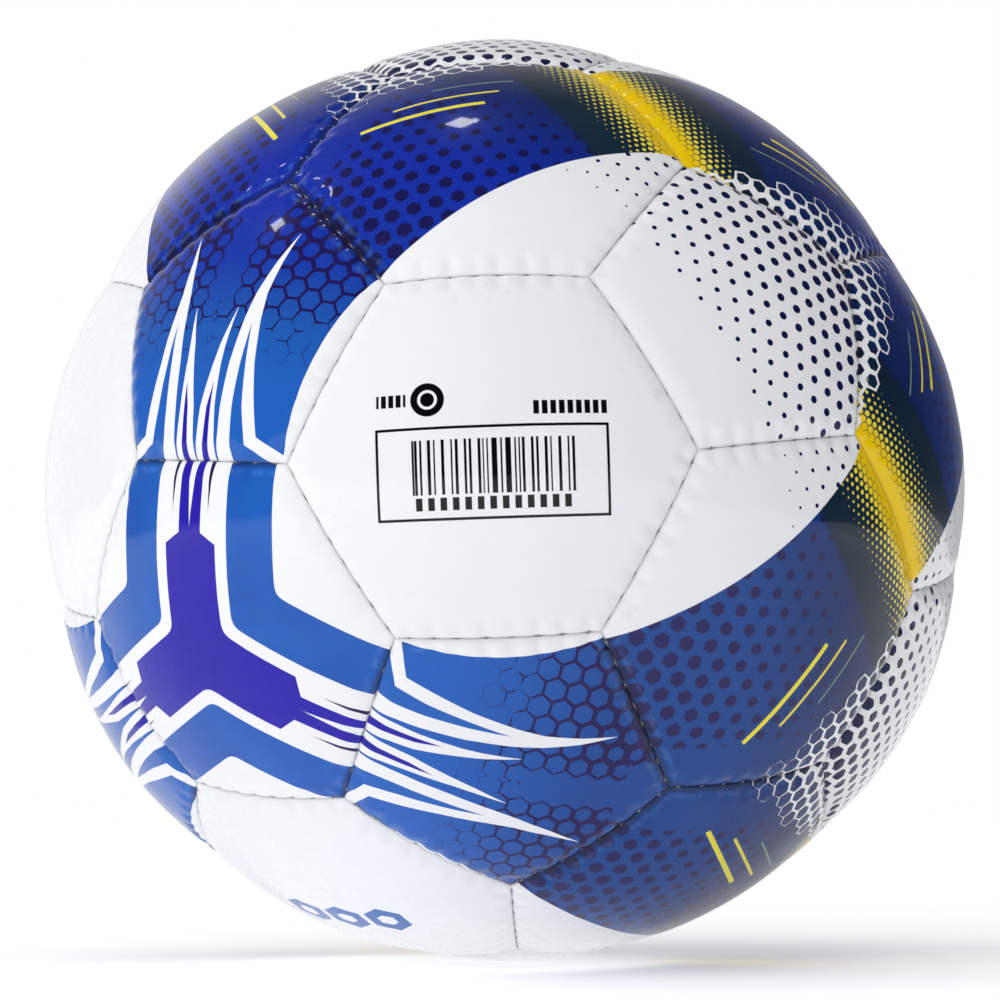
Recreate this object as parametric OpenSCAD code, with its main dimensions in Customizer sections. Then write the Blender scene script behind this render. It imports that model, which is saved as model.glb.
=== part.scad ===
// Size-five football: a hand-stitched cover of twenty hexagons and twelve
// pentagons over cloth linings, a rubber bladder and a needle valve.
// Origin at the ball's centre. The valve looks out along +Y, and the hexagon
// opposite it faces -Y with one pentagon straight below it.

/* [Ball] */

// Diameter over the crowns of the panels
ball_d = 220; // [200:1:225]
// Turn of the cover about the valve axis, anticlockwise seen from -Y
cover_turn = 1.8; // [-60:0.1:60]

/* [Panels] */

// Height of a panel's crown above its corners
puff = 2.1; // [0.5:0.1:4]
// Depth of a seam groove below the panel corners
groove_depth = 0.9; // [0.3:0.1:2]
// Slope of a rolled panel edge, from the seam's own plane
edge_slope = 45; // [25:1:65]
// Half of the gap between two stitched edges
seam_gap = 0.1; // [0.05:0.01:0.4]
// Thickness of the cover at the seam, where it starts to turn in
cover_t = 0.7; // [0.4:0.1:1.5]
// Thickness of the turned-in hem that carries the stitches
hem_t = 1.4; // [0.8:0.1:2.5]

/* [Lining and bladder] */

// Thickness of the laminated cloth lining
lining_t = 2.6; // [1:0.1:4]
// Air left between a lining and its hem
lining_gap = 0.1; // [0.05:0.05:0.5]
// Air left between the bladder and the linings
bladder_gap = 0.2; // [0.1:0.1:1]
// Wall of the bladder
bladder_t = 1.2; // [0.6:0.1:2]

/* [Stitching] */

// Radius of the waxed thread
thread_r = 0.34; // [0.2:0.02:0.5]
// Angle at the ball's centre left free at each end of a seam's thread
thread_trim = 0.6; // [0.3:0.1:2]

/* [Valve] */

// Depth of the valve's face below the crown of its panel
valve_sink = 0.8; // [0.3:0.1:2]
// Radius of the valve's head and stem
valve_r = 4; // [3:0.1:6]
// Play between the valve's head and each hole that it passes
valve_play = 0.2; // [0.1:0.05:0.5]
// Length of the valve from its face to its inner end
valve_len = 19; // [14:0.5:30]
// Radius of the flange that seats inside the bladder
flange_r = 9; // [7:0.5:14]
// Radius of the patch that reinforces the bladder round the valve
patch_r = 16; // [12:0.5:24]
// Radius of the core that seals on the needle
core_r = 2.36; // [1.8:0.02:3]
// Radius of the needle channel in the core
needle_r = 1.05; // [0.8:0.05:1.3]
// Radius of the mouth in the valve's face
mouth_r = 1.6; // [1.2:0.1:2.2]

/* [Hidden] */

$fn = 128;
ball_r = ball_d / 2;
corner_r = ball_r - puff;
groove_r = corner_r - groove_depth;
cover_back_r = groove_r - cover_t;
lining_back_r = cover_back_r - lining_t;
bladder_r = lining_back_r - bladder_gap;
bladder_inner_r = bladder_r - bladder_t;
sheet_gap = 0.05;                      // between glued rubber sheets
patch_t = 0.7;
flange_t = 1.2;
above_ball = ball_r + 2;
below_hem = lining_back_r * 0.8;

panel_white = [0.93, 0.93, 0.94];
print_blue = [0.10, 0.30, 0.75];
print_violet = [0.17, 0.13, 0.60];
cloth_cream = [0.86, 0.83, 0.76];
rubber_black = [0.08, 0.08, 0.09];
rubber_grey = [0.33, 0.33, 0.35];
latex_amber = [0.78, 0.62, 0.38];
thread_grey = [0.80, 0.80, 0.82];

function unit(v) = v / norm(v);
function two_digits(i) = str(i < 10 ? "0" : "", i);

// The twelve corners of an icosahedron, turned so that one of its faces looks
// along -Y with a corner of that face straight below.
golden = (1 + sqrt(5)) / 2;
raw_corners = [for (a = [-1, 1], b = [-golden, golden]) each [[0, a, b], [a, b, 0], [b, 0, a]]];
front = unit([1, 1, 1]);
lowest = [0, 1, golden];
down = unit(lowest - front * (front * lowest));
right = cross(front, down);

function stood_up(p) = [right * p, -(front * p), -(down * p)];
function turned(p) = [
    p.x * cos(cover_turn) - p.z * sin(cover_turn),
    p.y,
    p.x * sin(cover_turn) + p.z * cos(cover_turn)
];

corners = [for (p = raw_corners) turned(stood_up(unit(p)))];
last = len(corners) - 1;

// Neighbouring corners are about 63.4 degrees apart and no other pair is under 90.
function touching(i, j) = i != j && corners[i] * corners[j] > 0.1;
function cut_point(i, j) = unit(2 * corners[i] + corners[j]);

// One [axis, a corner's direction] pair for each panel.
pentagons = [for (i = [0:last]) [corners[i], [for (j = [0:last]) if (touching(i, j)) cut_point(i, j)][0]]];
hexagons = [
    for (i = [0:last], j = [i:last], k = [j:last])
        if (touching(i, j) && touching(j, k) && touching(i, k))
            [unit(corners[i] + corners[j] + corners[k]), cut_point(i, j)]
];

// The two ends of every seam: between two hexagons, then round each pentagon.
seams = concat(
    [for (i = [0:last], j = [i:last]) if (touching(i, j)) [cut_point(i, j), cut_point(j, i)]],
    [
        for (i = [0:last], j = [0:last], k = [j:last])
            if (touching(i, j) && touching(i, k) && touching(j, k)) [cut_point(i, j), cut_point(i, k)]
    ]
);

edge_len = norm(seams[0][0] - seams[0][1]);
seam_angle = 2 * asin(edge_len / 2);
function corner_angle(n) = asin(edge_len / 2 / sin(180 / n));
function side_angle(n) = asin(edge_len / 2 / tan(180 / n) / cos(seam_angle / 2));

// Radius of the sphere that touches the ball's crown and a panel's corners.
function puff_radius(n) =
    let (level = corner_r * cos(corner_angle(n)))
    (corner_r ^ 2 + ball_r ^ 2 - 2 * level * ball_r) / (2 * (ball_r - level));

// The printed pattern repeats about the axis of one violet hexagon.
violet_axis = turned([-sqrt(1 / 3), -sqrt(5) / 3, -1 / 3]);
function near_pole(axis) = abs(axis * violet_axis);
function hexagon_colour(axis) =
    near_pole(axis) > 0.9 ? print_violet : near_pole(axis) > 0.6 ? panel_white : print_blue;
function pentagon_colour(axis) = near_pole(axis) > 0.5 ? print_blue : panel_white;

// Stands its children on a panel's axis, with +X towards one of its corners.
module on_panel(panel) {
    axis = panel[0];
    side = unit(panel[1] - axis * (axis * panel[1]));
    third = cross(axis, side);
    multmatrix([
        [side.x, third.x, axis.x, 0],
        [side.y, third.y, axis.y, 0],
        [side.z, third.z, axis.z, 0],
        [0, 0, 0, 1]
    ]) children();
}

// The wedge between a panel's seam planes, drawn in by inset on every side.
module seam_wedge(n, inset) {
    function reach(h) = (h * tan(side_angle(n)) - inset / cos(side_angle(n))) / cos(180 / n);
    translate([0, 0, below_hem])
        cylinder(h = above_ball - below_hem, r1 = reach(below_hem), r2 = reach(above_ball), $fn = n);
}

// The wide pyramid whose sides roll a panel's edges down into the grooves.
module rolled_edges(n) {
    lean = edge_slope - side_angle(n);
    rim = sin(edge_slope) * groove_r - cos(edge_slope) * seam_gap;
    function reach(h) = (rim - h * sin(lean)) / cos(lean) / cos(180 / n);
    translate([0, 0, below_hem])
        cylinder(h = above_ball - below_hem, r1 = reach(below_hem), r2 = reach(above_ball), $fn = n);
}

module panel_blank(n) {
    difference() {
        intersection() {
            translate([0, 0, ball_r - puff_radius(n)]) sphere(r = puff_radius(n));
            seam_wedge(n, seam_gap);
            rolled_edges(n);
        }
        sphere(r = lining_back_r);
        intersection() {
            sphere(r = cover_back_r);
            seam_wedge(n, seam_gap + hem_t);
        }
    }
}

module lining_blank(n) {
    intersection() {
        difference() {
            sphere(r = cover_back_r);
            sphere(r = lining_back_r);
        }
        seam_wedge(n, seam_gap + hem_t + lining_gap);
    }
}

// Everything of the valve is drawn along +Z and laid along +Y here.
module along_valve() {
    rotate([-90, 0, 0]) children();
}

module valve_hole() {
    along_valve() cylinder(h = above_ball, r = valve_r + valve_play);
}

module hexagon_panel(i) {
    panel = hexagons[i];
    color(hexagon_colour(panel[0]))
        difference() {
            on_panel(panel) panel_blank(6);
            if (panel[0].y > 0.99) valve_hole();
        }
}

module pentagon_panel(i) {
    color(pentagon_colour(pentagons[i][0])) on_panel(pentagons[i]) panel_blank(5);
}

module hexagon_linings() {
    color(cloth_cream)
        for (panel = hexagons)
            difference() {
                on_panel(panel) lining_blank(6);
                if (panel[0].y > 0.99) valve_hole();
            }
}

module pentagon_linings() {
    color(cloth_cream) for (panel = pentagons) on_panel(panel) lining_blank(5);
}

// One run of thread in the bottom of each seam groove.
module seam_thread() {
    path_r = groove_r - seam_gap + (thread_r + 0.02) * sqrt(2);
    color(thread_grey)
        for (seam = seams) {
            pole = unit(cross(seam[0], seam[1]));
            ahead = cross(pole, seam[0]);
            multmatrix([
                [seam[0].x, ahead.x, pole.x, 0],
                [seam[0].y, ahead.y, pole.y, 0],
                [seam[0].z, ahead.z, pole.z, 0],
                [0, 0, 0, 1]
            ])
                rotate([0, 0, thread_trim])
                rotate_extrude(angle = seam_angle - 2 * thread_trim)
                translate([path_r, 0]) circle(r = thread_r);
        }
}

module bladder() {
    color(rubber_black)
        difference() {
            sphere(r = bladder_r);
            sphere(r = bladder_inner_r);
            valve_hole();
        }
}

// A dished ring of the given outer radius, one sheet of the wall thick.
module dished_ring(outer, top_r, thickness) {
    intersection() {
        difference() {
            sphere(r = top_r);
            sphere(r = top_r - thickness);
        }
        cylinder(h = above_ball, r = outer);
    }
}

module valve_patch() {
    color(rubber_grey)
        difference() {
            along_valve() dished_ring(patch_r, bladder_inner_r - sheet_gap, patch_t);
            valve_hole();
        }
}

valve_face = ball_r - valve_sink;
valve_foot = valve_face - valve_len;
core_top = valve_face - 1.1;
core_foot = valve_foot + 1.6;
lead_in = 0.8;
bevel = 0.5;

module valve_body() {
    flange_top = bladder_inner_r - patch_t - 2 * sheet_gap;
    wall_gap = 0.04;
    color(rubber_black)
        along_valve()
        difference() {
            union() {
                translate([0, 0, valve_foot + bevel])
                    cylinder(h = valve_len - 2 * bevel, r = valve_r);
                translate([0, 0, valve_face - bevel])
                    cylinder(h = bevel, r1 = valve_r, r2 = valve_r - bevel);
                translate([0, 0, valve_foot])
                    cylinder(h = bevel, r1 = valve_r - bevel, r2 = valve_r);
                dished_ring(flange_r, flange_top, flange_t);
            }
            translate([0, 0, core_foot - wall_gap])
                cylinder(h = core_top - core_foot + 2 * wall_gap, r = core_r + wall_gap);
            translate([0, 0, valve_foot - 1]) cylinder(h = valve_len + 2, r = mouth_r);
            translate([0, 0, valve_face - lead_in])
                cylinder(h = lead_in + 0.01, r1 = mouth_r, r2 = mouth_r + lead_in);
        }
}

module valve_core() {
    color(latex_amber)
        along_valve()
        difference() {
            translate([0, 0, core_foot]) cylinder(h = core_top - core_foot, r = core_r);
            translate([0, 0, core_foot - 1]) cylinder(h = core_top - core_foot + 2, r = needle_r);
            translate([0, 0, core_top - lead_in / 2])
                cylinder(h = lead_in / 2 + 0.01, r1 = needle_r, r2 = needle_r + lead_in / 2);
        }
}

HEXAGON_NODES = [for (i = [1:len(hexagons)]) str("hexagon_panel_", two_digits(i))];
PENTAGON_NODES = [for (i = [1:len(pentagons)]) str("pentagon_panel_", two_digits(i))];

for (i = [0:len(hexagons) - 1])
    hexagon_panel(i);
for (i = [0:len(pentagons) - 1])
    pentagon_panel(i);
hexagon_linings();
pentagon_linings();
seam_thread();
bladder();
valve_patch();
valve_body();
valve_core();
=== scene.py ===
import math
import random

import bpy
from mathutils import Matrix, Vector, noise


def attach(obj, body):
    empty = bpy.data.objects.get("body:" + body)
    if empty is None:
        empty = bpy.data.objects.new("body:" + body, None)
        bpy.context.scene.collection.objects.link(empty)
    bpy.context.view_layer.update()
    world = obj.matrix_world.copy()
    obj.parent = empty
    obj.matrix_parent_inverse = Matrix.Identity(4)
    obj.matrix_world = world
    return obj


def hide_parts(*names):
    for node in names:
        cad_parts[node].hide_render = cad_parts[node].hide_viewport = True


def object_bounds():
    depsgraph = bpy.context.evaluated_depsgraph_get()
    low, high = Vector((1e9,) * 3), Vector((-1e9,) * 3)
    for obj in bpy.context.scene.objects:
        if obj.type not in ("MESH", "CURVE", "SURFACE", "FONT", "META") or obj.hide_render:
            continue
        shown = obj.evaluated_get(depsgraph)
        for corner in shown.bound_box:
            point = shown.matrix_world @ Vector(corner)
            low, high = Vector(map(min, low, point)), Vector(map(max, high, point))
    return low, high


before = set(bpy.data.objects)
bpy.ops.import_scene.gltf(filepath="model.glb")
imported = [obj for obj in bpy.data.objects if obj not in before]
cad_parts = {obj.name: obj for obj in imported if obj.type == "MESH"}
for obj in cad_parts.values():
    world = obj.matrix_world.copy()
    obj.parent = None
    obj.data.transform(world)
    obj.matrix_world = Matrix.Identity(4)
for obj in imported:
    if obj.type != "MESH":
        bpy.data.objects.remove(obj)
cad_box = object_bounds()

# A size-five football: 32 printed and stitched panels round a lined rubber bladder.
# The model is in metres; sizes of the ball and its print are in millimetres below.
MM = 0.001

# The ball
CROWN_R = 110.0          # over the middle of a panel
CORNER_R = 107.9         # at a panel's corners
PANEL_BACK_R = 106.25    # inside of the cover
COVER_TURN = math.radians(1.8)    # about the valve's axis
VALVE_HOLE_R = 4.2
SIDE_LENGTH = 44.4       # of a panel, from corner to corner

# Seams
STITCHES = 8             # along one seam
PINCH_R = 107.0          # bottom of a seam between two stitches
STITCH_R = 106.50        # bottom of a seam at a stitch
ROLL = 4.2               # how far in from the seam a panel rolls down
STITCH_ROLL = 0.8        # how much further it rolls at a stitch
SEAM_GAP = 0.02          # half of the gap between two panels
STITCH_GAP = 0.16        # what a stitch opens it by
STITCH_WIDTH = 1.05      # how far along the seam a stitch pulls
SEAM_REACH = 9.0         # how far in a seam shapes a panel at all
DIMPLE_FROM_SEAM = 2.6
DIMPLE_DEPTH = 0.34
DIMPLE_R = 1.45
THREAD_R = 0.3
THREAD_PATH_R = 106.55
THREAD_STEPS = 40        # along one seam
THREAD_SIDES = 6
THREAD_SWAY = 0.12       # to either side, once for each stitch
STITCH_REACH = 1.1       # from the seam to a stitch's end
STITCH_LEAN = 0.5        # along the seam, over the same length
STITCH_RISE = 0.22       # above the strand, in a stitch's middle
STITCH_DROP = 0.45       # from there to its ends

# How far some prints lie off the middle of their panels, right and up
PRINT_SLIPS = {
    "pentagon_panel_11": (-1.85, 0.0),
    "pentagon_panel_10": (1.1, 0.0),
    "hexagon_panel_16": (0.35, -2.4),
}

# The mesh of a panel: distance in from its edge, and segments along one side
RIM_SEGMENTS = 56
RIM_ROWS = (0.0, 0.12, 0.35, 0.7, 1.15, 1.7, 2.3, 2.9, 3.5, 4.2, 5.0, 6.0)
MIDDLE_ROWS = ((7.4, 28), (9.2, 28), (11.5, 28), (14.0, 14), (17.0, 14), (20.5, 14),
               (25.0, 7), (30.0, 7))
BACK_ROWS = ((0.0, RIM_SEGMENTS), (6.0, 28), (14.0, 14), (24.0, 7))
CENTRE_CLEARANCE = 4.0   # between the last of these rows and the middle
HOLE_SEGMENTS = 14
THINNEST = 0.12          # a panel's least thickness


# ---------------------------------------------------------------- the ball's layout

def with_cover_turned(x, y, z):
    """A direction, turned as the cover is about the valve's axis."""
    c, s = math.cos(COVER_TURN), math.sin(COVER_TURN)
    return Vector((x * c - z * s, y, x * s + z * c))


def icosahedron():
    """Twelve directions, one to the middle of each pentagon."""
    golden = (1 + math.sqrt(5)) / 2
    raw = []
    for a in (-1, 1):
        for b in (-golden, golden):
            raw += [Vector((0, a, b)), Vector((a, b, 0)), Vector((b, 0, a))]
    front = Vector((1, 1, 1)).normalized()
    lowest = Vector((0, 1, golden))
    down = (lowest - front * front.dot(lowest)).normalized()
    right = front.cross(down)
    raw = [p.normalized() for p in raw]
    return [with_cover_turned(right.dot(p), -front.dot(p), -down.dot(p)) for p in raw]


POLES = icosahedron()
VIOLET_AXIS = with_cover_turned(-math.sqrt(1 / 3), -math.sqrt(5) / 3, -1 / 3)


def touching(i, j):
    """Whether two pentagons are the nearest ones to each other."""
    return i != j and POLES[i].dot(POLES[j]) > 0.1


def corner(i, j):
    """The direction of a panel corner: on the edge from pole i to pole j, nearer i."""
    return (POLES[i] * 2 + POLES[j]).normalized()


def in_order_round(axis, keys):
    """Corner keys sorted anticlockwise round an axis, as seen from outside."""
    first = corner(*keys[0])
    across = (first - axis * axis.dot(first)).normalized()
    up = axis.cross(across)
    return sorted(keys, key=lambda k: math.atan2(corner(*k).dot(up), corner(*k).dot(across)))


class Panel:
    """One panel of the cover: where it is, what is printed on it, and which way up."""

    def __init__(self, name, axis, keys):
        self.name = name
        self.axis = axis
        self.keys = in_order_round(axis, keys)
        self.sides = len(keys)
        self.kind = self.find_kind()
        self.up = None
        self.flip = 1
        self.slip = (0.0, 0.0)

    def find_kind(self):
        """The print, from how far the panel is from the axis that the pattern repeats about."""
        pole = abs(self.axis.dot(VIOLET_AXIS))
        if self.sides == 5:
            return "spiked" if pole > 0.5 else "dotted"
        if pole > 0.9:
            return "violet"
        return "white" if pole > 0.6 else "blue"

    def frame(self):
        """The print's own right and up directions at the middle of the panel."""
        up = (self.up - self.axis * self.axis.dot(self.up)).normalized()
        return up.cross(self.axis) * self.flip, up

    def flat(self, direction):
        """A direction unrolled onto the print, in millimetres."""
        right, up = self.frame()
        angle = self.axis.angle(direction)
        sideways = direction - self.axis * self.axis.dot(direction)
        if sideways.length < 1e-9:
            return 0.0, 0.0
        sideways = sideways.normalized() * angle * CROWN_R
        return sideways.dot(right), sideways.dot(up)


def all_panels():
    """The 20 hexagons and 12 pentagons, named as the CAD names them."""
    hexagons, pentagons = [], []
    for i in range(12):
        for j in range(i + 1, 12):
            for k in range(j + 1, 12):
                if touching(i, j) and touching(j, k) and touching(i, k):
                    keys = [(i, j), (j, i), (j, k), (k, j), (k, i), (i, k)]
                    axis = (POLES[i] + POLES[j] + POLES[k]).normalized()
                    name = "hexagon_panel_%02d" % (len(hexagons) + 1)
                    hexagons.append(Panel(name, axis, keys))
    for i in range(12):
        keys = [(i, j) for j in range(12) if touching(i, j)]
        pentagons.append(Panel("pentagon_panel_%02d" % (i + 1), POLES[i], keys))
    return hexagons + pentagons


def neighbours(panel, panels, kind):
    """The panels of one kind that share a seam with this one."""
    found = []
    for other in panels:
        shared = set(panel.keys) & set(other.keys)
        if other.kind == kind and other is not panel and len(shared) == 2:
            found.append(other)
    return found


def turn_prints(panels):
    """Which way up each print lies, from the panels round it."""
    for panel in panels:
        if panel.kind == "white":
            panel.up = -neighbours(panel, panels, "violet")[0].axis
        elif panel.kind == "violet":
            panel.up = neighbours(panel, panels, "white")[-1].axis
        elif panel.kind == "spiked":
            panel.up = -neighbours(panel, panels, "violet")[0].axis
        elif panel.kind == "dotted":
            panel.up = -neighbours(panel, panels, "white")[0].axis
        else:
            white = neighbours(panel, panels, "white")[0]
            spiked = neighbours(panel, panels, "spiked")[0]
            for dotted in neighbours(panel, panels, "dotted"):
                if len(set(dotted.keys) & set(white.keys)) == 2:
                    panel.up = dotted.axis
            if panel.flat(spiked.axis)[0] > 0:
                panel.flip = -1


def slip_prints(panels):
    """Prints are never quite in the middle of their panels; three are off by known amounts."""
    draw = random.Random(5)
    for panel in panels:
        sideways, upward = draw.uniform(-0.8, 0.8), draw.uniform(-0.8, 0.8)
        if panel.name in PRINT_SLIPS:
            panel.slip = PRINT_SLIPS[panel.name]
        elif panel.kind in ("violet", "spiked"):
            panel.slip = (sideways, upward)


# ---------------------------------------------------------------- seams

def seam_key(a, b):
    """One name for a seam, whichever of its panels asks."""
    return (min(a, b), max(a, b))


def all_seams(panels):
    """Every seam once, with how strongly each of its stitches pulls."""
    keys = set()
    for panel in panels:
        for n in range(panel.sides):
            keys.add(seam_key(panel.keys[n], panel.keys[(n + 1) % panel.sides]))
    seams = {}
    draw = random.Random(71)
    for key in sorted(keys):
        pulls = []
        tension = draw.uniform(0.45, 1.0)
        for n in range(STITCHES):
            place = (n + 0.5) / STITCHES + draw.uniform(-0.01, 0.01)
            pulls.append((place, tension * draw.uniform(0.6, 1.2), draw.uniform(0.4, 1.2)))
        seams[key] = pulls
    return seams


def pull(stitches, along):
    """How hard the stitches pull at a place along a seam: for depth, and for the gap."""
    depth = gap = 0.0
    for place, strength, opening in stitches:
        away = (along - place) * SIDE_LENGTH / STITCH_WIDTH
        if abs(away) < 3:
            shape = math.exp(-away * away)
            depth += strength * shape
            gap += opening * shape
    return min(depth, 1.0), min(gap, 1.0)


def dimples(stitches, along, inward):
    """Depth of the small hollows that the stitches leave a little way into a panel."""
    total = 0.0
    for place, strength, opening in stitches:
        dx = (along - place) * SIDE_LENGTH
        dy = inward - DIMPLE_FROM_SEAM - 0.5 * (opening - 0.8)
        near = (dx * dx + dy * dy * 0.7) / (DIMPLE_R * DIMPLE_R)
        if near < 6:
            total += strength * math.exp(-near)
    return total * DIMPLE_DEPTH


# ---------------------------------------------------------------- panel meshes

def puff_height(panel, angle):
    """Radius of the puffed-out panel at an angle from its middle."""
    corner_angle = panel.axis.angle(corner(*panel.keys[0]))
    level = CORNER_R * math.cos(corner_angle)
    rise = (CORNER_R ** 2 + CROWN_R ** 2 - 2 * level * CROWN_R) / (2 * (CROWN_R - level))
    middle = CROWN_R - rise
    return middle * math.cos(angle) + math.sqrt(rise ** 2 - (middle * math.sin(angle)) ** 2)


def roll(inward, width):
    """How far a rolled edge has come down: 1 at the seam and 0 beyond its width."""
    if inward >= width:
        return 0.0
    u = 1 - inward / width
    return 0.5 * u * u + 0.5 * (1 - math.sqrt(max(0.0, 1 - u ** 2.3)))


def undulation(direction):
    """The slight waviness of a stuffed and stitched cover."""
    broad = noise.noise(direction * 7.0 + Vector((3.1, 0.4, 8.2)))
    fine = noise.noise(direction * 19.0 + Vector((9.7, 5.2, 1.3)))
    return 0.16 * broad + 0.055 * fine


class PanelSurface:
    """Heights over one panel, from its sides' seams and stitches."""

    def __init__(self, panel, seams):
        self.panel = panel
        self.ends = [corner(*k) for k in panel.keys]
        self.walls = []
        self.stitches = []
        self.reversed = []
        for n in range(panel.sides):
            a, b = panel.keys[n], panel.keys[(n + 1) % panel.sides]
            self.walls.append(self.ends[n].cross(self.ends[(n + 1) % panel.sides]).normalized())
            self.stitches.append(seams[seam_key(a, b)])
            self.reversed.append(seam_key(a, b)[0] != a)

    def on_side(self, n, along):
        """The direction of a point of a side, on its great circle."""
        a, b = self.ends[n], self.ends[(n + 1) % self.panel.sides]
        return a.slerp(b, along)

    def seam_place(self, n, direction):
        """How far along and how far in from one side a direction is."""
        wall = self.walls[n]
        inward = CROWN_R * math.asin(max(-1.0, min(1.0, wall.dot(direction))))
        shadow = (direction - wall * wall.dot(direction)).normalized()
        a, b = self.ends[n], self.ends[(n + 1) % self.panel.sides]
        along = math.atan2(a.cross(shadow).dot(wall), a.dot(shadow)) / a.angle(b)
        if self.reversed[n]:
            along = 1 - along
        return along, inward

    def height(self, direction):
        """Radius of the surface in a direction, and the distance to the nearest seam."""
        base = puff_height(self.panel, self.panel.axis.angle(direction))
        nearest = 1e9
        deepest = hollows = 0.0
        for n in range(self.panel.sides):
            along, inward = self.seam_place(n, direction)
            nearest = min(nearest, inward)
            if inward > SEAM_REACH:
                continue
            depth, gap = pull(self.stitches[n], along)
            bottom = PINCH_R + (STITCH_R - PINCH_R) * depth
            fall = (base - bottom) * roll(max(inward, 0.0), ROLL + STITCH_ROLL * depth)
            deepest = max(deepest, fall)
            hollows += dimples(self.stitches[n], along, inward)
        calm = min(1.0, max(0.0, nearest / 6.0))
        wave = undulation(direction) - 0.2
        height = base - deepest - hollows * min(1.0, max(0.0, nearest) / 1.5) + wave * calm
        return max(height, PANEL_BACK_R + THINNEST), nearest


class PanelMesh:
    """Collects a closed panel ring by ring, and the print's place at each point."""

    def __init__(self, surface):
        self.surface = surface
        self.points = []
        self.print_places = []
        self.seam_distances = []
        self.faces = []

    def add(self, direction, radius, seam_distance):
        """A new point, with its place on the print; gives its index."""
        panel = self.surface.panel
        x, y = panel.flat(direction)
        self.points.append(direction * radius * MM)
        self.print_places.append((x - panel.slip[0], y - panel.slip[1], 0.0))
        self.seam_distances.append(seam_distance)
        return len(self.points) - 1

    def direction(self, n, along, inward, hole):
        """A point of the panel: along one side and moved in towards the middle."""
        panel = self.surface.panel
        edge = self.surface.on_side(n, along)
        reach = panel.axis.angle(edge) * CROWN_R
        side = self.surface.walls[n]
        middle_in = CROWN_R * math.asin(side.dot(panel.axis))
        share = 1 - inward / middle_in
        angle = (hole + (reach - hole) * share) / CROWN_R
        axis = panel.axis.cross(edge).normalized()
        sideways = axis.cross(panel.axis)
        return panel.axis * math.cos(angle) + sideways * math.sin(angle)

    def ring(self, inward, segments, hole, radius=None):
        """One closed ring of points; a given radius makes it part of the back."""
        ring = []
        for n in range(self.surface.panel.sides):
            line = []
            for step in range(segments):
                along = step / segments
                place = 1 - along if self.surface.reversed[n] else along
                depth, gap = pull(self.surface.stitches[n], place)
                opening = SEAM_GAP + STITCH_GAP * gap
                shifted = inward + opening * max(0.0, 1 - inward / 3.0)
                direction = self.direction(n, along, shifted, hole)
                if radius is None:
                    height, nearest = self.surface.height(direction)
                else:
                    height, nearest = radius, shifted
                line.append(self.add(direction, height, nearest))
            ring.append(line)
        return ring

    def zip_rings(self, outer, inner, turned=False):
        """Triangles between two rings, side by side."""
        sides = len(outer)
        for n in range(sides):
            a = outer[n] + [outer[(n + 1) % sides][0]]
            b = inner[n] + [inner[(n + 1) % sides][0]]
            i = j = 0
            while i < len(a) - 1 or j < len(b) - 1:
                next_a = (i + 1) / (len(a) - 1)
                next_b = (j + 1) / (len(b) - 1)
                if j == len(b) - 1 or (i < len(a) - 1 and next_a <= next_b + 1e-9):
                    face = (a[i], a[i + 1], b[j])
                    i += 1
                else:
                    face = (a[i], b[j + 1], b[j])
                    j += 1
                self.faces.append(face[::-1] if turned else face)

    def close(self, ring, middle, turned=False):
        """A fan of triangles from a ring to one middle point."""
        loop = [index for line in ring for index in line]
        for n, index in enumerate(loop):
            face = (index, loop[(n + 1) % len(loop)], middle)
            self.faces.append(face[::-1] if turned else face)

    def object(self, name):
        """The finished mesh, with the attributes that the materials read."""
        mesh = bpy.data.meshes.new(name)
        mesh.from_pydata(self.points, [], self.faces)
        mesh.polygons.foreach_set("use_smooth", [True] * len(mesh.polygons))
        places = mesh.attributes.new("print", "FLOAT_VECTOR", "POINT")
        flat = [value for place in self.print_places for value in place]
        places.data.foreach_set("vector", flat)
        distances = mesh.attributes.new("seam", "FLOAT", "POINT")
        distances.data.foreach_set("value", self.seam_distances)
        mesh.update()
        piece = bpy.data.objects.new(name, mesh)
        bpy.context.scene.collection.objects.link(piece)
        return piece


def middle_reach(panel):
    """From the middle of a side to the middle of the panel, in millimetres."""
    half = (corner(*panel.keys[0]) + corner(*panel.keys[1])).normalized()
    return panel.axis.angle(half) * CROWN_R


def make_panel(panel, seams):
    """A closed panel: puffed and rolled outside, a side wall down to the hem, a back."""
    surface = PanelSurface(panel, seams)
    build = PanelMesh(surface)
    hole = VALVE_HOLE_R if panel.name == "hexagon_panel_01" else 0.0
    reach = middle_reach(panel)
    rows = [(inward, RIM_SEGMENTS) for inward in RIM_ROWS]
    rows += [row for row in MIDDLE_ROWS if row[0] < reach - CENTRE_CLEARANCE]
    top = [build.ring(inward, segments, hole) for inward, segments in rows]
    for outer, inner in zip(top, top[1:]):
        build.zip_rings(outer, inner)
    back = [build.ring(inward, segments, hole, PANEL_BACK_R) for inward, segments in BACK_ROWS]
    build.zip_rings(top[0], back[0], turned=True)
    for outer, inner in zip(back, back[1:]):
        build.zip_rings(outer, inner, turned=True)
    if hole:
        rim = build.ring(reach, HOLE_SEGMENTS, hole)
        foot = build.ring(reach, HOLE_SEGMENTS, hole, PANEL_BACK_R)
        build.zip_rings(top[-1], rim)
        build.zip_rings(back[-1], foot, turned=True)
        build.zip_rings(rim, foot)
    else:
        height, nearest = surface.height(panel.axis)
        build.close(top[-1], build.add(panel.axis, height, nearest))
        build.close(back[-1], build.add(panel.axis, PANEL_BACK_R, reach), turned=True)
    piece = build.object("printed_" + panel.name)
    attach(piece, "root")
    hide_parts(panel.name)
    "cover_" + panel.kind
    return piece


# ---------------------------------------------------------------- thread

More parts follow.
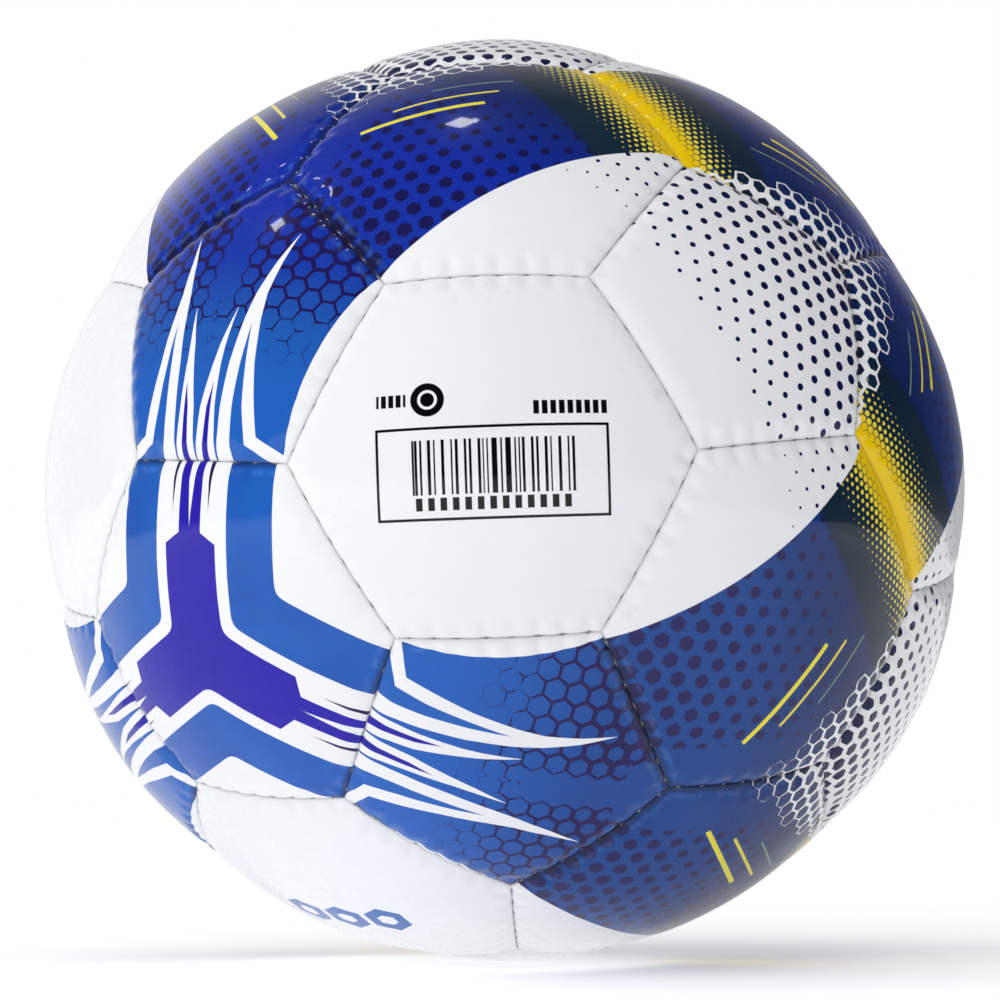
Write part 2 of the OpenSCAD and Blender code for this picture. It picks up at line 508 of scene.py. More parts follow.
def tube(points, faces, path, radius, sides):
    """Adds a closed tube of triangles along a path of points in millimetres."""
    first = len(points)
    for n, place in enumerate(path):
        ahead = path[min(n + 1, len(path) - 1)] - path[max(n - 1, 0)]
        out = place.normalized()
        across = ahead.cross(out).normalized()
        out = across.cross(ahead).normalized()
        for k in range(sides):
            turn = 2 * math.pi * k / sides
            offset = across * math.cos(turn) + out * math.sin(turn)
            points.append((place + offset * radius) * MM)
    for n in range(len(path) - 1):
        for k in range(sides):
            a = first + n * sides + k
            b = first + n * sides + (k + 1) % sides
            faces.append((a, b, b + sides, a + sides))
    faces.append(tuple(first + k for k in reversed(range(sides))))
    last = first + (len(path) - 1) * sides
    faces.append(tuple(last + k for k in range(sides)))


def strand_path(a, b, wall):
    """The strand along the bottom of the seam between two corners."""
    path = []
    for n in range(THREAD_STEPS + 1):
        along = 0.015 + 0.97 * n / THREAD_STEPS
        sway = THREAD_SWAY * math.sin(2 * math.pi * STITCHES * along)
        direction = (a.slerp(b, along) + wall * sway / CROWN_R).normalized()
        path.append(direction * THREAD_PATH_R)
    return path


def stitch_path(a, b, wall, place):
    """One slanted stitch over the strand, at its place along the seam."""
    middle = a.slerp(b, place)
    lean = (b - a).normalized() * STITCH_LEAN
    path = []
    for n in range(7):
        share = n / 3 - 1
        radius = THREAD_PATH_R + STITCH_RISE - STITCH_DROP * share * share
        direction = (middle + (wall * STITCH_REACH + lean) * share / CROWN_R).normalized()
        path.append(direction * radius)
    return path


def make_thread(seams):
    """Waxed thread: a strand along the bottom of each seam, and a stitch over it at each pull."""
    points, faces = [], []
    for key, stitches in seams.items():
        a, b = corner(*key[0]), corner(*key[1])
        wall = a.cross(b).normalized()
        tube(points, faces, strand_path(a, b, wall), THREAD_R, THREAD_SIDES)
        for place, strength, opening in stitches:
            path = stitch_path(a, b, wall, place)
            tube(points, faces, path, THREAD_R * 0.9, THREAD_SIDES)
    mesh = bpy.data.meshes.new("stitching")
    mesh.from_pydata(points, [], faces)
    mesh.polygons.foreach_set("use_smooth", [True] * len(mesh.polygons))
    piece = bpy.data.objects.new("stitching", mesh)
    bpy.context.scene.collection.objects.link(piece)
    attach(piece, "root")
    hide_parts("seam_thread")
    return piece


# ---------------------------------------------------------------- sums in shaders

def srgb(red, green, blue):
    """A colour given from 0 to 255, as Blender's linear values."""
    def linear(c):
        c /= 255
        return c / 12.92 if c <= 0.04045 else ((c + 0.055) / 1.055) ** 2.4
    return (linear(red), linear(green), linear(blue), 1.0)


class Nodes:
    """The nodes of one material or world, and short ways to add to them."""

    def __init__(self, tree):
        self.nodes = tree.nodes
        self.links = tree.links

    def feed(self, socket, value):
        """Links a worked-out value to a socket, or sets a constant on it."""
        if isinstance(value, Number):
            self.links.new(value.socket, socket)
        elif isinstance(value, bpy.types.NodeSocket):
            self.links.new(value, socket)
        else:
            socket.default_value = value

    def maths(self, operation, *values, clamp=False):
        """One step of a sum."""
        node = self.nodes.new("ShaderNodeMath")
        node.operation = operation
        node.use_clamp = clamp
        for socket, value in zip(node.inputs, values):
            self.feed(socket, value)
        return Number(self, node.outputs[0])

    def attribute(self, name):
        node = self.nodes.new("ShaderNodeAttribute")
        node.attribute_name = name
        return node

    def print_place(self):
        """Where on the flat print a point is: millimetres right and up of its middle."""
        x, y, unused = self.split(self.attribute("print").outputs["Vector"])
        return x, y

    def seam_distance(self):
        return Number(self, self.attribute("seam").outputs["Fac"])

    def object_place(self):
        return self.nodes.new("ShaderNodeTexCoord").outputs["Object"]

    def noise(self, scale, detail=2.0, roughness=0.5, place=None):
        node = self.nodes.new("ShaderNodeTexNoise")
        node.inputs["Scale"].default_value = scale
        node.inputs["Detail"].default_value = detail
        node.inputs["Roughness"].default_value = roughness
        self.links.new(place or self.object_place(), node.inputs["Vector"])
        return Number(self, node.outputs["Fac"])

    def mix(self, share, first, second):
        """The first colour, covered by the second where the share is 1."""
        node = self.nodes.new("ShaderNodeMix")
        node.data_type = "RGBA"
        self.feed(node.inputs[0], share)
        self.feed(node.inputs[6], first)
        self.feed(node.inputs[7], second)
        return node.outputs[2]

    def graph(self, value, points):
        """A value looked up on straight lines between (place, height) points."""
        start, end = points[0][0], points[-1][0]
        low = min(p[1] for p in points)
        high = max(p[1] for p in points)
        node = self.nodes.new("ShaderNodeFloatCurve")
        curve = node.mapping.curves[0]
        while len(curve.points) < len(points):
            curve.points.new(0.5, 0.5)
        spread = high - low or 1.0
        for dot, (place, height) in zip(curve.points, points):
            dot.location = ((place - start) / (end - start), (height - low) / spread)
            dot.handle_type = "VECTOR"
        node.mapping.update()
        self.feed(node.inputs["Value"], ((value - start) / (end - start)).clamped())
        return Number(self, node.outputs[0]) * spread + low

    def bump(self, height, distance, strength, below=None):
        """A surface relief, on top of another one where that is given."""
        node = self.nodes.new("ShaderNodeBump")
        node.inputs["Distance"].default_value = distance
        node.inputs["Strength"].default_value = strength
        self.feed(node.inputs["Height"], height)
        if below is not None:
            self.links.new(below, node.inputs["Normal"])
        return node.outputs[0]

    def split(self, socket):
        """The three parts of a vector."""
        node = self.nodes.new("ShaderNodeSeparateXYZ")
        self.links.new(socket, node.inputs[0])
        return [Number(self, output) for output in node.outputs]


class Paint(Nodes):
    """One material, and the nodes that its print is drawn with."""

    def __init__(self, name):
        self.material = bpy.data.materials.new(name)
        self.material.use_nodes = True
        super().__init__(self.material.node_tree)
        self.shader = self.nodes["Principled BSDF"]

    def surface(self, colour, roughness, relief):
        self.feed(self.shader.inputs["Base Color"], colour)
        self.feed(self.shader.inputs["Roughness"], roughness)
        self.feed(self.shader.inputs["Normal"], relief)


class Number:
    """A number that a shader works out at each point, for use in ordinary sums."""

    def __init__(self, paint, socket):
        self.paint = paint
        self.socket = socket

    def __add__(self, other):
        return self.paint.maths("ADD", self, other)

    def __radd__(self, other):
        return self.paint.maths("ADD", other, self)

    def __sub__(self, other):
        return self.paint.maths("SUBTRACT", self, other)

    def __rsub__(self, other):
        return self.paint.maths("SUBTRACT", other, self)

    def __mul__(self, other):
        return self.paint.maths("MULTIPLY", self, other)

    def __rmul__(self, other):
        return self.paint.maths("MULTIPLY", other, self)

    def __truediv__(self, other):
        return self.paint.maths("DIVIDE", self, other)

    def __abs__(self):
        return self.paint.maths("ABSOLUTE", self)

    def min(self, other):
        return self.paint.maths("MINIMUM", self, other)

    def max(self, other):
        return self.paint.maths("MAXIMUM", self, other)

    def smooth_max(self, other, radius):
        return self.paint.maths("SMOOTH_MAX", self, other, radius)

    def root(self):
        return self.paint.maths("SQRT", self.max(0.0))

    def wrapped(self, pitch):
        """The distance to the nearest multiple of a pitch, with its sign."""
        return self.paint.maths("WRAP", self, pitch / 2, -pitch / 2)

    def clamped(self):
        return self.paint.maths("ADD", self, 0.0, clamp=True)

    def under(self, limit, soft=0.12):
        """1 where the number is below a limit, 0 above it, with a soft edge."""
        return self.paint.maths("ADD", (limit - self) / soft, 0.5, clamp=True)

    def over(self, limit, soft=0.12):
        """1 where the number is above a limit, 0 below it, with a soft edge."""
        return self.paint.maths("ADD", (self - limit) / soft, 0.5, clamp=True)

    def within(self, low, high, soft=0.12):
        """1 between two limits, 0 outside them."""
        return self.over(low, soft) * self.under(high, soft)


def distance(x, y):
    """How far a point is from the place where both numbers are 0."""
    return (x * x + y * y).root()


def turned(x, y, degrees):
    """Coordinates along an axis turned by an angle, and across it."""
    c, s = math.cos(math.radians(degrees)), math.sin(math.radians(degrees))
    return x * c + y * s, y * c - x * s


def honeycomb(paint, x, y, start, row_pitch, column_pitch, degrees=0.0):
    """Offsets from the nearest cell of a staggered lattice.

    Cells lie row_pitch apart along the turned x axis, in rows column_pitch apart,
    and every other row is shifted by half a pitch."""
    u, v = turned(x - start[0], y - start[1], degrees)
    u1, v1 = u.wrapped(row_pitch), v.wrapped(2 * column_pitch)
    u2 = (u - row_pitch / 2).wrapped(row_pitch)
    v2 = (v - column_pitch).wrapped(2 * column_pitch)
    nearer = paint.maths("LESS_THAN", u1 * u1 + v1 * v1, u2 * u2 + v2 * v2)
    return u2 + (u1 - u2) * nearer, v2 + (v1 - v2) * nearer


def hexagon_size(u, v):
    """Half of the width of the hexagon through a point; its flats face along u."""
    u, v = abs(u), abs(v)
    return u.max(u * 0.5 + v * 0.8660)


# ---------------------------------------------------------------- colours of the print

WHITE = srgb(238, 239, 242)
SHADED_WHITE = srgb(226, 228, 234)
BLUE = srgb(26, 94, 184)
DEEP_BLUE = srgb(12, 54, 158)
HEX_BLUE = srgb(20, 70, 144)
VIOLET = srgb(30, 18, 160)
CLOUD_VIOLET = srgb(38, 22, 172)
NET_VIOLET = srgb(24, 12, 84)
DOT_VIOLET = srgb(32, 20, 84)
# painted shade: the blue on the upper half of the ball
SHADED_UPPER_BLUE = srgb(6, 38, 164)
DARK_BLUE = srgb(6, 30, 84)
CLOUD_BLUE = srgb(14, 52, 136)
CLEAR_BLUE = srgb(16, 74, 184)
MARK_BLUE = srgb(40, 98, 176)
# painted shade: the dots on the upper half of the ball
SHADED_UPPER_DOT = srgb(14, 8, 66)
NAVY = srgb(10, 18, 70)
DARK_NAVY = srgb(8, 26, 56)
TEAL_NAVY = srgb(12, 38, 58)
YELLOW = srgb(240, 202, 0)
PALE_YELLOW = srgb(236, 218, 70)
LINE_YELLOW = srgb(238, 226, 60)
LINE_GREEN = srgb(128, 158, 128)
INK = srgb(6, 6, 8)
# grey for dirt and handling marks, and for painted shade at the seams
GRIME_AND_SHADE = srgb(92, 92, 98)
# painted shade at the bottom of the seams of the coloured panels
PAINTED_SEAM_SHADE = srgb(8, 12, 34)
# painted glints on the rolled edges of the coloured panels
PAINTED_GLINT_BLUE = srgb(110, 164, 232)


def shaded_upper_half(paint):
    """1 on the upper half of the ball, 0 below: painted shade, the blue panels painted deeper above
    and paler below.
    """
    return paint.split(paint.object_place())[2].over(0.025, 0.07)


def seam_shade_and_glints(paint, colour):
    """A coloured panel, with painted shade where it turns down into its seams and painted glints in
    pale patches on the rolled edges beside them.
    """
    seam = paint.seam_distance()
    # painted glints: pale blue patches on the rolled edge, 1.5 to 2.7 mm in from the seam
    glint_patches = paint.noise(330.0, 2.0, 0.6).over(0.52, 0.2)
    colour = paint.mix(seam.within(1.5, 2.7, 0.9) * glint_patches * 0.16, colour, PAINTED_GLINT_BLUE)
    # painted shade: dark where the panel turns down into its seam
    return paint.mix(seam.under(0.85, 1.5) * 0.7, colour, PAINTED_SEAM_SHADE)


def cover_finish(paint, colour):
    """The coated cover itself: gloss, fine grain, faint handling marks, and seams greyed by dirt and
    by painted shade.
    """
    shader = paint.shader
    place = paint.object_place()
    seam = paint.seam_distance()
    mottle = paint.noise(38.0, 3.0, 0.55, place)
    grain = paint.noise(2600.0, 3.0, 0.6, place)
    scuffs = paint.noise(190.0, 4.0, 0.7, place)
    worn = scuffs.over(0.66, 0.1) * seam.under(9.0, 9.0)
    colour = paint.mix(worn * 0.08, colour, GRIME_AND_SHADE)
    # the seams greyed by dirt and by painted shade where the panels turn down
    colour = paint.mix(seam.under(0.3, 0.8) * 0.22, colour, GRIME_AND_SHADE)
    colour = paint.mix(((mottle - 0.5) * 0.06).max(0.0), colour, GRIME_AND_SHADE)
    pebble = paint.bump(grain, 0.00006, 0.10)
    waves = paint.bump(paint.noise(95.0, 1.0, 0.5, place), 0.0005, 0.10, pebble)
    paint.surface(colour, 0.27 + (scuffs - 0.5) * 0.16 + worn * 0.18, waves)
    shader.inputs["Specular IOR Level"].default_value = 0.06
    shader.inputs["Coat Weight"].default_value = 0.5
    shader.inputs["Coat Roughness"].default_value = 0.05
    return paint.material


def plain_white(name="white_cover"):
    """A new white material, the print's coordinates in it, and its faintly uneven colour."""
    paint = Paint(name)
    x, y = paint.print_place()
    shade = paint.noise(60.0, 2.0, 0.5)
    return paint, x, y, paint.mix(shade * 0.25, WHITE, SHADED_WHITE)


def white_cover():
    """A white panel without a print."""
    paint, x, y, colour = plain_white()
    return cover_finish(paint, colour)


def bars(paint, along, across, half_height):
    """A block of upright bars of uneven widths, that stands for no code."""
    beat = paint.maths("SINE", along * 4.1) + paint.maths("SINE", along * 6.7 + 1.3)
    beat = beat + paint.maths("SINE", along * 2.3 + 0.4) * 0.8
    return beat.over(0.25, 0.4) * abs(across).under(half_height)


def blocks(paint, along, across, pitch, half_width, half_height):
    """A row of small upright blocks, where the real cover carries figures."""
    near = abs(along.wrapped(pitch)).under(half_width)
    return near * abs(across).under(half_height)


def label_cover():
    """The white front panel: a framed block of bars, a disc and rows of small blocks."""
    paint, x, y, colour = plain_white()
    u, v = turned(x - 4.1, y + 2.0, 60.0)
    border = abs(u).under(24.7) * abs(v - 0.2).under(9.85)
    border = border - abs(u).under(24.1) * abs(v - 0.2).under(9.25)
    drawn = bars(paint, u, v - 1.5, 5.75) * abs(u).under(17.3)
    drawn = drawn.max(border)
    drawn = drawn.max(blocks(paint, u, v + 6.2, 2.6, 0.7, 1.35) * abs(u).under(16.9))
    cu, cv = turned(x - 1.0, y - 19.0, 60.0)
    drawn = drawn.max(blocks(paint, cu, cv - 0.3, 1.8, 0.6, 1.45) * abs(cu).under(8.1))
    wu, wv = turned(x + 20.0, y + 12.5, 60.0)
    drawn = drawn.max(blocks(paint, wu, wv - 0.3, 1.6, 0.55, 1.35) * abs(wu).under(3.2))
    disc = distance(x + 16.3, y + 5.6)
    drawn = drawn.max(disc.under(3.6) - disc.within(1.5, 2.1))
    return cover_finish(paint, paint.mix(drawn, colour, INK))


def badge_cover():
    """A white panel with a generic mark: a row of three blue hexagons with white middles."""
    paint, x, y, colour = plain_white()
    rings = hexagon_size(x.wrapped(11.6), y - 2.5).within(2.2, 5.0) * abs(x).under(17.3)
    return cover_finish(paint, paint.mix(rings, colour, MARK_BLUE))


def violet_cover():
    """Three violet arms with white outlines and blue bands, split where they meet a seam."""
    paint = Paint("violet_cover")
    x, y = paint.print_place()
    arms = [turned(x, y, angle)[0] for angle in (270, 30, 150)]
    u = arms[0].smooth_max(arms[1], 5.0).smooth_max(arms[2], 5.0)
    v = (x * x + y * y - u * u).root()
    cloud = paint.noise(70.0, 2.0, 0.5)
    # the blue bands get painted shade at their seams and painted glints beside them
    band = seam_shade_and_glints(paint, paint.mix(cloud - 0.35, BLUE, DEEP_BLUE))
    colour = paint.mix(v.under(22.15), WHITE, band)
    colour = paint.mix(v.under(10.35), colour, WHITE)
    sliver = abs(v - 5.3).under((u - 30.5) * 0.055)
    colour = paint.mix(sliver, colour, NET_VIOLET)
    half = paint.graph(u, [(0, 7.3), (23.5, 7.3), (26.0, 3.2), (46.0, 3.2)])
    colour = paint.mix(v.under(half), colour, paint.mix(cloud, VIOLET, CLOUD_VIOLET))
    colour = paint.mix(v.under((u - 27.5) * 0.08), colour, WHITE)
    return cover_finish(paint, colour)


def spike(paint, colour, x, y, tip, outer, inner, split):
    """One white spike: a pointed band of two legs with a split between them."""
    body = x.within(paint.graph(y, inner), paint.graph(y, outer)) * y.under(tip)
    colour = paint.mix(body, colour, WHITE)
    low, high, fill = split
    gap = x.within(paint.graph(y, low), paint.graph(y, high), 0.16)
    gap = gap * y.under(low[-1][0])
    return paint.mix(gap, colour, fill)


def violet_net(paint, x, y):
    """The ground of the spiked cover: blue under a violet honeycomb that frays downwards."""
    cloud = paint.noise(60.0, 2.0, 0.5)
    colour = paint.mix(y.over(2.0, 34.0), BLUE, HEX_BLUE)
    # painted shade: deeper blue on the upper half of the ball
    colour = paint.mix(shaded_upper_half(paint) * y.over(6.0, 16.0), colour, SHADED_UPPER_BLUE)
    colour = paint.mix(cloud * 0.2, colour, CLEAR_BLUE)
    dv, du = honeycomb(paint, y, x, (2.7, 2.135), 4.94, 4.27)
    line = paint.graph(y, [(-11, 0.0), (-5, 0.3), (0, 0.5), (10, 0.85), (20, 1.4), (30, 2.3)])
    ragged = paint.noise(420.0, 0.0).over(0.5, 0.2)
    line = line * (y.over(0.0, 3.0).max(ragged))
    net = hexagon_size(dv, du).over(2.47 - line * 0.5, 0.16)
    cell = x - du
    bare = paint.graph(y, [(-12, 0.0), (0, 0.5), (6, 3.0), (26, 6.3), (34, 8.0)])
    net = net * cell.over(bare, 0.05) * y.over(-10.5, 0.1)
    # painted shade at the seams, and painted glints beside them
    return seam_shade_and_glints(paint, paint.mix(net, colour, NET_VIOLET))


def spiked_cover():
    """Blue with a violet honeycomb, white spikes rising from one seam, white corners."""
    paint = Paint("spiked_cover")
    x, y = paint.print_place()
    x = abs(x)
    colour = violet_net(paint, x, y)
    long_outer = [(-34, 26.5), (-30.6, 25.4), (-29.8, 24.4), (-26.1, 16.7), (-20, 15.6),
                  (-10, 13.9), (0, 12.95), (6, 12.7), (14, 13.6), (21.5, 14.95)]
    long_inner = [(-34, 5.9), (-31, 6.4), (-28, 6.4), (-20, 6.6), (-10, 7.3), (0, 8.7),
                  (6, 9.8), (14, 12.1), (21.5, 14.9)]
    long_low = [(-34, 10.9), (-31, 10.4), (-28, 9.85), (-20, 9.75), (-10, 10.2), (-1, 10.9)]
    long_high = [(-34, 30.0), (-30.9, 19.6), (-27.9, 13.85), (-20, 12.45), (-10, 11.6),
                 (-1, 10.9)]
    colour = spike(paint, colour, x, y, 21.5, long_outer, long_inner,
                   (long_low, long_high, BLUE))
    short_outer = [(-34, 6.2), (-30, 5.7), (-20, 5.05), (-10, 5.0), (-5, 5.3), (2.5, 6.1)]
    short_inner = [(-34, 0.0), (-30, 0.35), (-20, 0.95), (-10, 2.95), (-5, 3.95), (2.5, 6.05)]
    short_low = [(-34, 1.6), (-30, 2.2), (-20, 2.75), (-14.4, 3.95)]
    short_high = [(-34, 3.9), (-30, 3.85), (-20, 3.85), (-14.4, 3.96)]
    colour = spike(paint, colour, x, y, 2.5, short_outer, short_inner,
                   (short_low, short_high, VIOLET))
    corner_white = distance(x - 123.85, y + 37.0).under(100.4)
    return cover_finish(paint, paint.mix(corner_white, colour, WHITE))


def dotted_cover():
    """White with staggered navy dots that grow and turn hexagonal towards the top."""
    paint, x, y, colour = plain_white("dotted_cover")
    dv, du = honeycomb(paint, y, x, (1.2, 1.915), 4.85, 3.83)
    size = paint.graph(y, [(-16, 0.45), (0, 0.85), (16, 1.2), (28, 1.6), (34, 1.9)])
    square = y.over(16.0, 16.0)
    across = distance(du, dv)
    across = across + (hexagon_size(dv, du) * 1.08 - across) * square
    dots = across.under(size) * (y - dv).over(-15.4, 0.05)
    return cover_finish(paint, paint.mix(dots, colour, NAVY))


def thin_stroke(x, y, start, end, width):
    """A straight slanted stroke between two points of the print."""
    length = math.hypot(end[0] - start[0], end[1] - start[1])
    angle = math.degrees(math.atan2(end[1] - start[1], end[0] - start[0]))
    u, v = turned(x - start[0], y - start[1], angle)
    return u.within(0.0, length, 0.3) * abs(v).under(width / 2)


def dotted_blue(paint, x, y):
    """The ground of the blue cover: fading violet dots, and a dark band along one side."""
    cloud = paint.noise(60.0, 2.0, 0.5)
    upper = shaded_upper_half(paint)
    # painted shade: the ground and its dots deeper on the upper half of the ball
    colour = paint.mix(upper, HEX_BLUE, SHADED_UPPER_BLUE)
    colour = paint.mix(x.over(3.0, 32.0), colour, DARK_BLUE)
    colour = paint.mix(cloud * 0.25, colour, CLOUD_BLUE)
    du, dv = honeycomb(paint, x, y, (-32.5, -1.7), 5.64, 4.1, -6.8)
    size = paint.graph(x, [(-40, 1.95), (-20, 1.55), (0, 1.07), (10, 0.85), (19, 0.0)])
    across = distance(du, dv)
    hexed = x.under(-18.0, 18.0)
    across = across + (hexagon_size(du, dv) * 1.06 - across) * hexed
    dots = across.under(size, 0.3) * y.over(-28.0, 0.6) * x.under(18.0, 8.0)
    colour = paint.mix(dots * 0.92, colour, paint.mix(upper, DOT_VIOLET, SHADED_UPPER_DOT))
    dark = turned(x, y, 30.0)[0].over(18.0, 2.2)
    colour = paint.mix(dark, colour, DARK_NAVY)
    # painted shade at the seams, and painted glints beside them
    return seam_shade_and_glints(paint, paint.mix(dark * y.over(-12.0, 30.0), colour, TEAL_NAVY))


def yellow_side(paint, colour, x, y):
    """A yellow stripe along one side, that breaks up into a halftone over the dark band."""
    u = turned(x, y, 30.0)[0]
    hu, hv = honeycomb(paint, y, x, (17.5, 32.0), 1.92, 1.66, 3.5)
    grow = paint.graph(u, [(24.0, -0.3), (26.0, 0.2), (32.0, 0.58), (35.0, 0.8), (37.2, 1.25)])
    colour = paint.mix(distance(hu, hv).under(grow, 0.2), colour, PALE_YELLOW)
    colour = paint.mix(u.over(34.8, 2.6), colour, YELLOW)
    net_of_dark = hexagon_size(hu, hv).over(0.86, 0.12) * u.within(34.0, 37.0, 0.8)
    return paint.mix(net_of_dark * 0.85, colour, DARK_NAVY)


def slanted_strokes(paint, colour, x, y):
    """Three thin slanted strokes, each shorter and paler than the one before."""
    for start, end, width, ink in (
        ((9.7, -5.5), (-8.3, -27.5), 1.25, LINE_YELLOW),
        ((16.0, -5.6), (0.6, -24.1), 0.78, PALE_YELLOW),
        ((22.5, -5.6), (10.9, -19.9), 0.42, LINE_GREEN),
    ):
        colour = paint.mix(thin_stroke(x, y, start, end, width), colour, ink)
    return colour


def white_net(paint, colour, x, y):
    """A white honeycomb in one corner, with thicker walls nearer to the seam."""
    nu, nv = honeycomb(paint, x, y, (23.8, -22.0), 4.78, 3.68)
    # the net starts cell by cell, so the place of the cell's middle decides
    nearest = (x - nu) * 0.631 - (y - nv) * 0.776
    to_seam = turned(x, y, -30.0)[0]
    width = paint.graph(to_seam, [(24.0, 0.5), (27.3, 0.8), (31.7, 1.25), (36.0, 1.6), (42.0, 2.1)])
    net = hexagon_size(nu, nv).over(2.39 - width * 0.5, 0.16) * nearest.over(30.2, 0.05)
    return paint.mix(net, colour, WHITE)


def white_lens(paint, colour, x, y):
    """A white area behind an arc, with a few navy specks at its upper end."""
    lens = distance(x + 128.0, y - 226.6).under(243.0, 0.2)
    pu, pv = honeycomb(paint, x, y, (5.7, 25.4), 4.85, 3.83)
    speck = paint.graph(x, [(-4, 0.0), (-1, 0.3), (6, 0.5), (20, 0.75)])
    specks = distance(pu, pv).under(speck) * y.over(20.0, 4.0)
    return paint.mix(lens, colour, paint.mix(specks, WHITE, NAVY))


def blue_cover():
    """Dotted blue with a yellow halftone side, slanted strokes, a white net and a white lens."""
    paint = Paint("blue_cover")
    x, y = paint.print_place()
    colour = dotted_blue(paint, x, y)
    colour = yellow_side(paint, colour, x, y)
    colour = slanted_strokes(paint, colour, x, y)
    colour = white_net(paint, colour, x, y)
    colour = white_lens(paint, colour, x, y)
    return cover_finish(paint, colour)


# ---------------------------------------------------------------- inner materials

def thread_material():
    """Grey waxed polyester, two plies twisted together."""
    paint = Paint("waxed_thread")
    place = paint.object_place()
    fibre = paint.noise(5200.0, 2.0, 0.6, place)
    colour = paint.mix(fibre, srgb(104, 106, 112), srgb(164, 166, 172))
    paint.surface(colour, 0.5 + fibre * 0.2, paint.bump(fibre, 0.0001, 0.7))
    paint.shader.inputs["Sheen Weight"].default_value = 0.15
    return paint.material


def cloth_material():
    """Plain-woven cotton and polyester lining under a thin skin of latex."""
    paint = Paint("lining_cloth")
    place = paint.object_place()
    x, y, z = paint.split(place)
    warp = paint.maths("SINE", x * 6500.0)
    weft = paint.maths("SINE", z * 6500.0)
    weave = warp * weft * 0.5 + 0.5
    soil = paint.noise(90.0, 3.0, 0.6, place)
    colour = paint.mix(weave * 0.5 + soil * 0.3, srgb(226, 218, 198), srgb(196, 186, 162))
    paint.surface(colour, 0.7 + soil * 0.2, paint.bump(weave, 0.0002, 0.6))
    paint.shader.inputs["Sheen Weight"].default_value = 0.2
    return paint.material


def rubber_material(name, base, dusty, roughness, gloss):
    """Moulded rubber with a dusting of talc and a fine cast surface."""
    paint = Paint(name)
    place = paint.object_place()
    talc = paint.noise(160.0, 4.0, 0.65, place)
    cast = paint.noise(2100.0, 2.0, 0.5, place)
    colour = paint.mix(talc.over(0.5, 0.5) * 0.6, base, dusty)
    paint.surface(colour, roughness + (talc - 0.5) * 0.2, paint.bump(cast, 0.00008, 0.4))
    paint.shader.inputs["Coat Weight"].default_value = gloss
    paint.shader.inputs["Coat Roughness"].default_value = 0.3
    return paint.material


def give(node_name, material):
    """A new finish for a CAD node's own mesh."""
    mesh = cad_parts[node_name].data
    mesh.materials.clear()
    mesh.materials.append(material)


# ---------------------------------------------------------------- stage

def floor_material():
    """White paper, lit a little from below as on a light table, and more so further out."""
    paint = Paint("floor_white")
    shader = paint.shader
    x, y, z = paint.split(paint.object_place())
    far = distance(x, y).over(1.0, 1.8)
    paint.feed(shader.inputs["Emission Strength"], 0.40 + far * 0.40)
    shader.inputs["Base Color"].default_value = (0.9, 0.9, 0.9, 1.0)
    shader.inputs["Roughness"].default_value = 0.7
    shader.inputs["Specular IOR Level"].default_value = 0.1
    shader.inputs["Emission Color"].default_value = (1.0, 1.0, 1.0, 1.0)
    return paint.material


def make_floor(height):
    """A wide pale floor at the foot of the ball."""
    half = 12.0
    mesh = bpy.data.meshes.new("floor")
    corners = [(-half, -half, height), (half, -half, height), (half, half, height),
               (-half, half, height)]
    mesh.from_pydata(corners, [], [(0, 1, 2, 3)])
    mesh.materials.append(floor_material())
    floor = bpy.data.objects.new("floor", mesh)
    bpy.context.scene.collection.objects.link(floor)


def make_world():
    """A studio that is white where it is seen, lights brighter from the left, and is
    mirrored in the gloss only faintly, except from behind the ball, where it rims it."""
    world = bpy.data.worlds.new("studio")
    bpy.context.scene.world = world
    world.use_nodes = True
    sky = Nodes(world.node_tree)
    background = sky.nodes["Background"]
    background.inputs["Color"].default_value = (1.0, 1.0, 1.0, 1.0)
    x, y, z = sky.split(sky.nodes.new("ShaderNodeTexCoord").outputs["Generated"])
    level = 0.28 - x * 0.14 + y * 0.18 - z * 0.04
    in_front = (0.0 - y).over(0.72, 0.40) * 0.85
    level = level * (1.0 - in_front)
    mirror = (0.13 - x * 0.08) * (1.0 - in_front) + y.over(0.65, 0.5) * (0.48 - x * 0.9).max(0.0)
    path = sky.nodes.new("ShaderNodeLightPath")
    seen = Number(sky, path.outputs["Is Camera Ray"])
    mirrored = Number(sky, path.outputs["Is Glossy Ray"])
    level = level + (mirror - level) * mirrored
    sky.feed(background.inputs["Strength"], level + (1.0 - level) * seen)


def soft_light(name, place, size, watts, mirrored=True):
    """A flat lamp aimed at the ball; one that isn't mirrored leaves no patch in the gloss."""
    light = bpy.data.lights.new(name, "AREA")
    light.shape = "RECTANGLE"
    light.size, light.size_y = size
    light.energy = watts
    lamp = bpy.data.objects.new(name, light)
    lamp.location = place
    lamp.rotation_mode = "QUATERNION"
    lamp.rotation_quaternion = (-Vector(place)).to_track_quat("-Z", "Y")
    lamp.visible_glossy = mirrored
    bpy.context.scene.collection.objects.link(lamp)


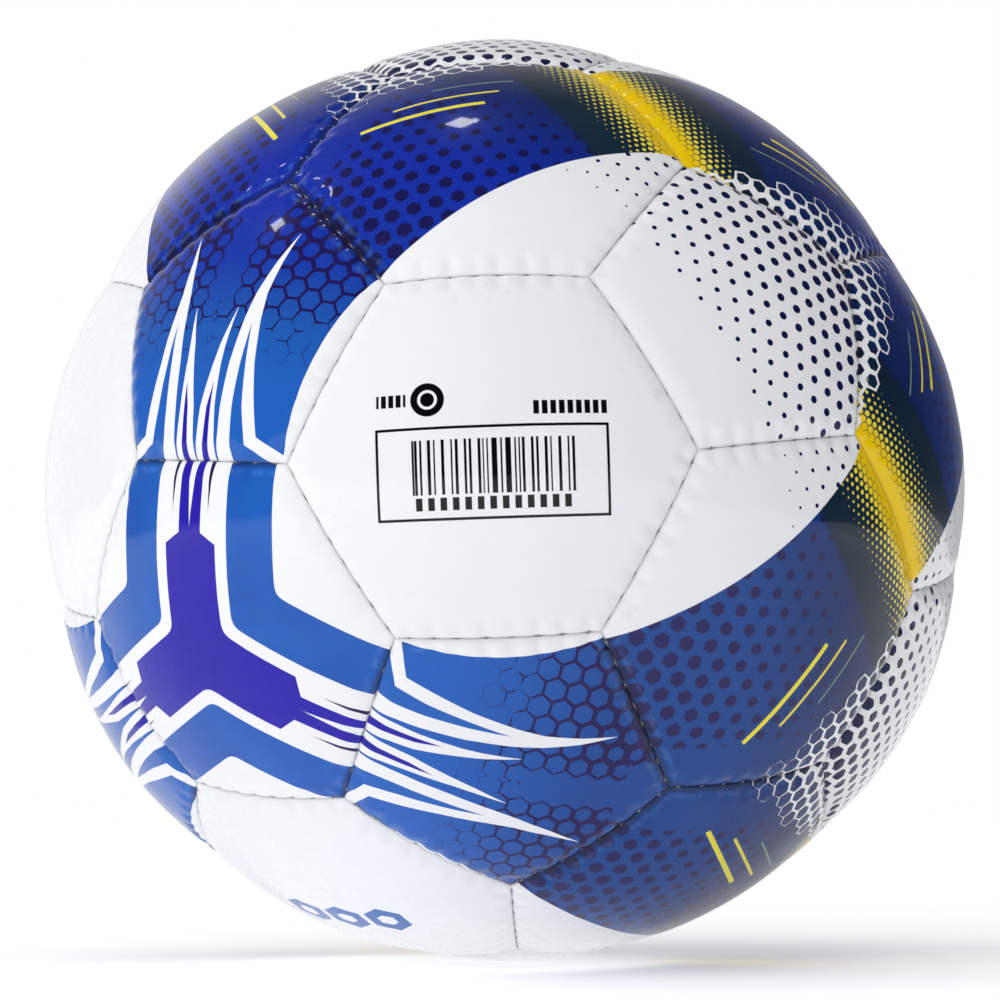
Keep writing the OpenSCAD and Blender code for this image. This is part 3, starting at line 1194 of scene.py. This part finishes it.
def make_camera():
    """A long lens, a little below the middle of the ball and a touch to one side."""
    azimuth, elevation = math.radians(1.63), math.radians(-5.52)
    away, lens = 0.784, 117.7
    back = Vector((
        math.sin(azimuth) * math.cos(elevation),
        -math.cos(azimuth) * math.cos(elevation),
        math.sin(elevation),
    ))
    right = Vector((math.cos(azimuth), math.sin(azimuth), 0.0))
    up = back.cross(right)
    aim = right * -0.00134 + up * 0.00038
    camera = bpy.data.objects.new("camera", bpy.data.cameras.new("camera"))
    camera.data.lens = lens
    camera.data.sensor_width = 36.0
    camera.data.clip_start = 0.01
    camera.location = back * away
    camera.rotation_mode = "QUATERNION"
    camera.rotation_quaternion = (aim - camera.location).to_track_quat("-Z", "Y")
    bpy.context.scene.collection.objects.link(camera)
    bpy.context.scene.camera = camera


# ---------------------------------------------------------------- the scene

panels = all_panels()
turn_prints(panels)
slip_prints(panels)
seams = all_seams(panels)

COVERS = {
    "white": white_cover(),
    "violet": violet_cover(),
    "spiked": spiked_cover(),
    "dotted": dotted_cover(),
    "blue": blue_cover(),
}
badge = badge_cover()
LABEL_PANEL = "hexagon_panel_20"
BADGE_PANELS = ("hexagon_panel_05", "hexagon_panel_15")

for panel in panels:
    piece = make_panel(panel, seams)
    if panel.name == LABEL_PANEL:
        piece.data.materials.append(label_cover())
    elif panel.name in BADGE_PANELS:
        piece.data.materials.append(badge)
    else:
        piece.data.materials.append(COVERS[panel.kind])

stitching = make_thread(seams)
stitching.data.materials.append(thread_material())

cloth = cloth_material()
give("hexagon_linings", cloth)
give("pentagon_linings", cloth)
give("bladder", rubber_material("butyl_bladder", srgb(28, 28, 31), srgb(82, 82, 86), 0.5, 0.1))
give("valve_patch", rubber_material("patch_rubber", srgb(70, 70, 74), srgb(120, 120, 122), 0.6, 0.0))
give("valve_body", rubber_material("valve_rubber", srgb(20, 20, 22), srgb(60, 60, 62), 0.45, 0.2))
give("valve_core", rubber_material("core_latex", srgb(196, 160, 104), srgb(222, 200, 160), 0.4, 0.2))

make_floor(cad_box[0].z)
make_world()
soft_light("key", (-0.50, -1.50, 1.75), (2.4, 2.4), 32.5, mirrored=False)
soft_light("left", (-2.1, -0.4, 0.95), (1.2, 2.2), 8.5, mirrored=False)
soft_light("front", (-1.15, -2.0, 0.25), (1.0, 1.0), 6.5, mirrored=False)
soft_light("right", (2.2, 0.1, 0.6), (0.7, 1.6), 3.0, mirrored=False)
soft_light("lamp_left", (-0.93, 0.05, 1.31), (0.14, 0.10), 0.6)
soft_light("lamp_top", (-0.19, 0.17, 1.58), (0.14, 0.10), 0.6)
make_camera()
bpy.context.scene.view_settings.view_transform = "Standard"
